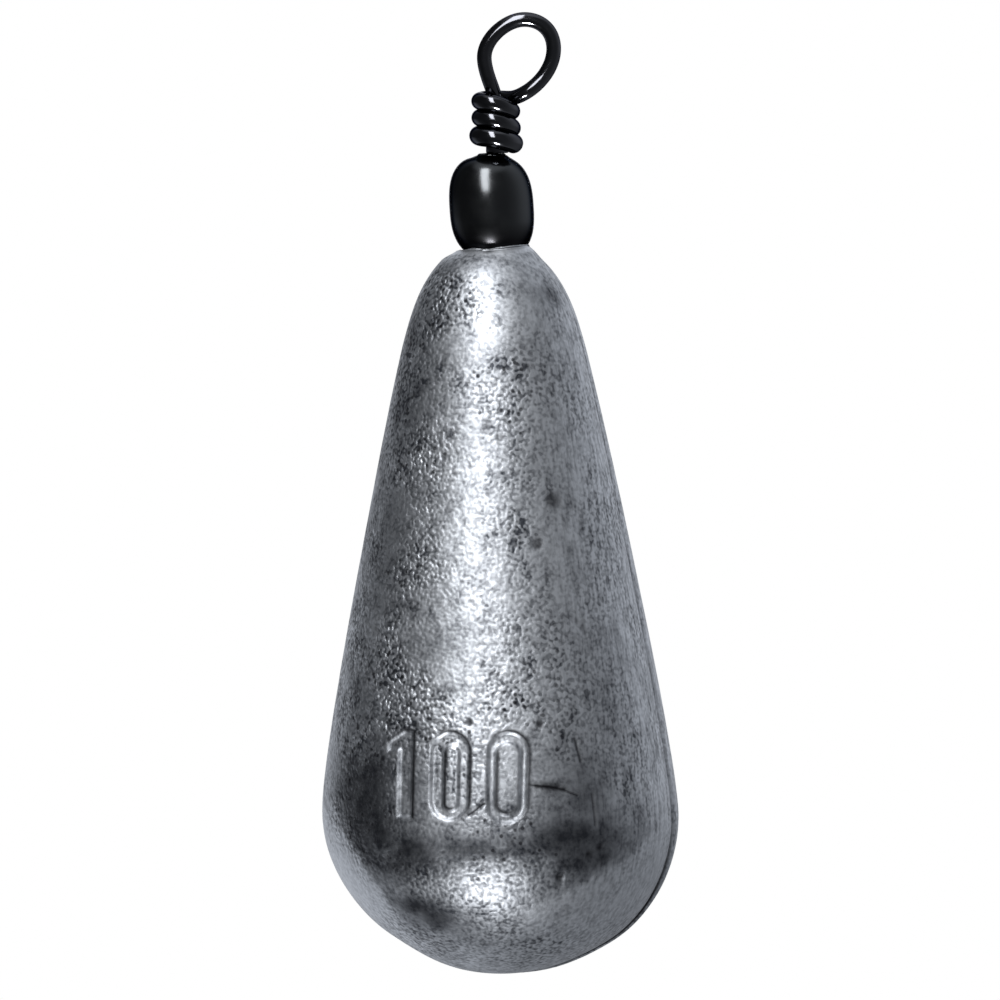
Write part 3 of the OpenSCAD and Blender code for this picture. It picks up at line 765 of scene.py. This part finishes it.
cloth = addNode(tree, "Mix", {
    "Factor": lowPart, "A": ramps[0], "B": ramps[1]}, data_type="RGBA").outputs["Result"]
cloth = addNode(tree, "Mix", {
    "Factor": ground, "A": cloth, "B": lightSet["ground"]}, data_type="RGBA").outputs["Result"]
cloth = addNode(tree, "Mix", {
    "Factor": ceiling, "A": cloth, "B": lightSet["ceiling"]}, data_type="RGBA").outputs["Result"]
glow = addNode(tree, "Emission", {"Color": cloth, "Strength": 1.0})
addNode(tree, "OutputMaterial", {"Surface": glow.outputs["Emission"]})
bpy.ops.mesh.primitive_uv_sphere_add(segments=64, ring_count=32, radius=tentSize, location=middle)
tent = bpy.context.object
tent.name = "tent"
tent.rotation_euler.z = turn - math.pi / 2
tent.data.materials.append(tentCloth)
tent.visible_camera = tent.visible_diffuse = tent.visible_shadow = False

# Floor: a pale round table top of matt paper under the hanging sinker, fading out into the white
floorSet = {
    "below": 60, "radius": 110, "brightRadius": 45, "colour": "#dededc", "roughness": 0.9,
    "fibreMm": 0.4, "fibreDeep": 0.05}
matPaper, tree = newMaterial("matPaper")
place = addNode(tree, "TexCoord").outputs["Object"]
distance = addNode(tree, "VectorMath", {0: place}, operation="LENGTH").outputs["Value"]
shown = addNode(tree, "MapRange", {
    "Value": distance, "From Min": floorSet["brightRadius"] * mm, "From Max": floorSet["radius"] * mm,
    "To Min": 1.0, "To Max": 0.0}, interpolation_type="SMOOTHSTEP").outputs["Result"]
fibre = addNode(tree, "TexNoise", {
    "Vector": place, "Scale": perMm(floorSet["fibreMm"]), "Detail": 4.0}).outputs["Fac"]
fibreBump = addNode(tree, "Bump", {
    "Height": fibre, "Strength": 0.3, "Distance": floorSet["fibreDeep"] * mm}).outputs["Normal"]
paper = addNode(tree, "BsdfPrincipled", {
    "Base Color": linearColour(floorSet["colour"]), "Roughness": floorSet["roughness"], "Normal": fibreBump})
clear = addNode(tree, "BsdfTransparent")
faded = addNode(tree, "MixShader", {0: shown, 1: clear.outputs["BSDF"], 2: paper.outputs["BSDF"]})
addNode(tree, "OutputMaterial", {"Surface": faded.outputs["Shader"]})
bpy.ops.mesh.primitive_circle_add(vertices=96, radius=floorSet["radius"] * mm, fill_type="NGON",
    location=(swivelX * mm, 0, (baseZ - floorSet["below"]) * mm))
floor = bpy.context.object
floor.name = "floor"
floor.data.materials.append(matPaper)
floor.visible_glossy = False  # the lead's underside mirrors the dim tent

# White for the camera, for reflections and for what is seen through things; a plain fill on the rest
world = bpy.data.worlds.new("studio")
world.use_nodes = True
tree = world.node_tree
tree.nodes.clear()
rays = addNode(tree, "LightPath").outputs
seen = addNode(tree, "Math", {
    0: rays["Is Camera Ray"], 1: rays["Is Glossy Ray"]}, operation="ADD").outputs["Value"]
seen = addNode(tree, "Math", {
    0: seen, 1: rays["Is Transmission Ray"]}, operation="ADD", use_clamp=True).outputs["Value"]
level = addNode(tree, "MapRange", {
    "Value": seen, "To Min": lightSet["fill"], "To Max": 1.0}).outputs["Result"]
white = addNode(tree, "Background", {"Color": (1, 1, 1, 1), "Strength": level})
addNode(tree, "OutputWorld", {"Surface": white.outputs["Background"]})
bpy.context.scene.world = world
bpy.context.scene.view_settings.view_transform = "Standard"
print("light and floor set")
